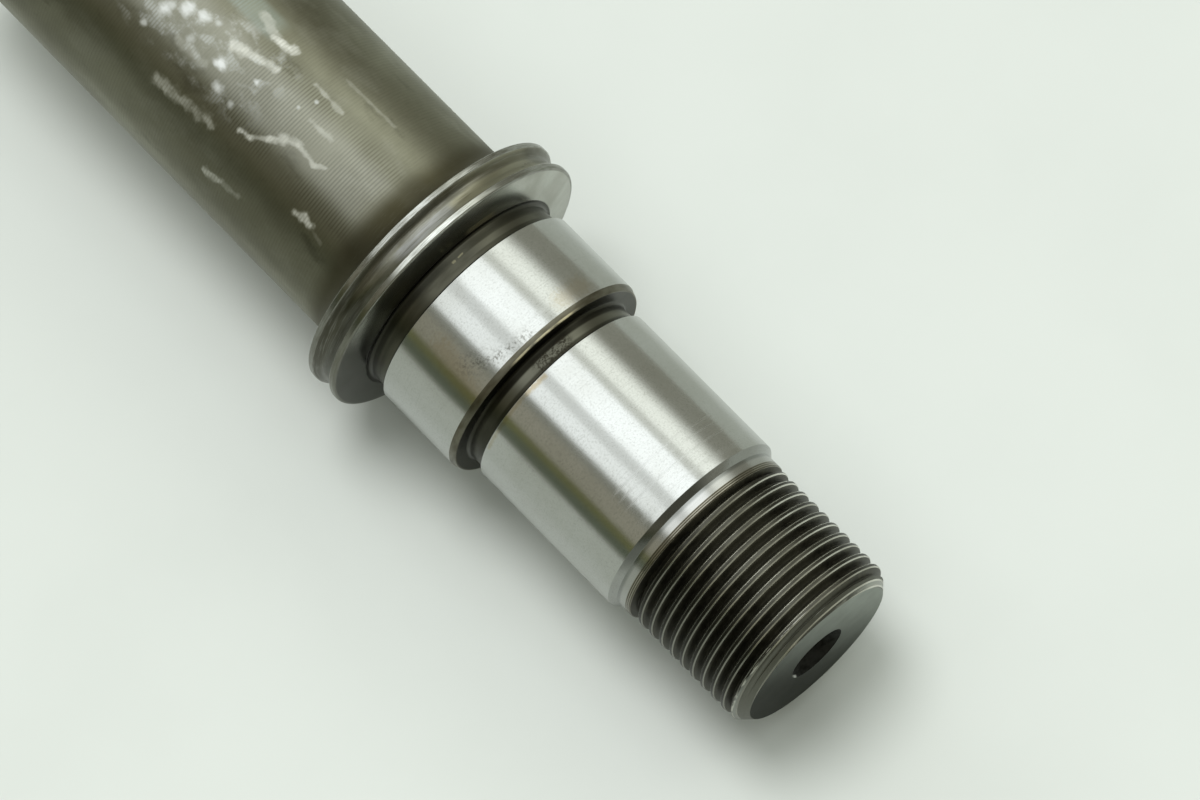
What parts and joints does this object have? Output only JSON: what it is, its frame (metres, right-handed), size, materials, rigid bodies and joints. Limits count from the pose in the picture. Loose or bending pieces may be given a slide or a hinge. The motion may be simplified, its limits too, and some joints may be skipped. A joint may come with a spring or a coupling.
{
  "type": "stepped shaft",
  "caption": "Turned steel shaft with a plain body, a double-rimmed collar, ground seats of falling size, relief grooves and a threaded end.",
  "frame": {"origin": "centre of the plain foot face, on the shaft's axis", "axes": "+Z along the shaft's axis, from the foot to the threaded end; the shaft is round, so +X and +Y are free"},
  "size_m": [0.044, 0.044, 0.16],
  "materials": {
    "shaft_steel": "turned and ground steel, oiled, with dark stain and light wear"
  },
  "bodies": {
    "root": {"shaft": "shaft_steel"}
  },
  "joints": []
}
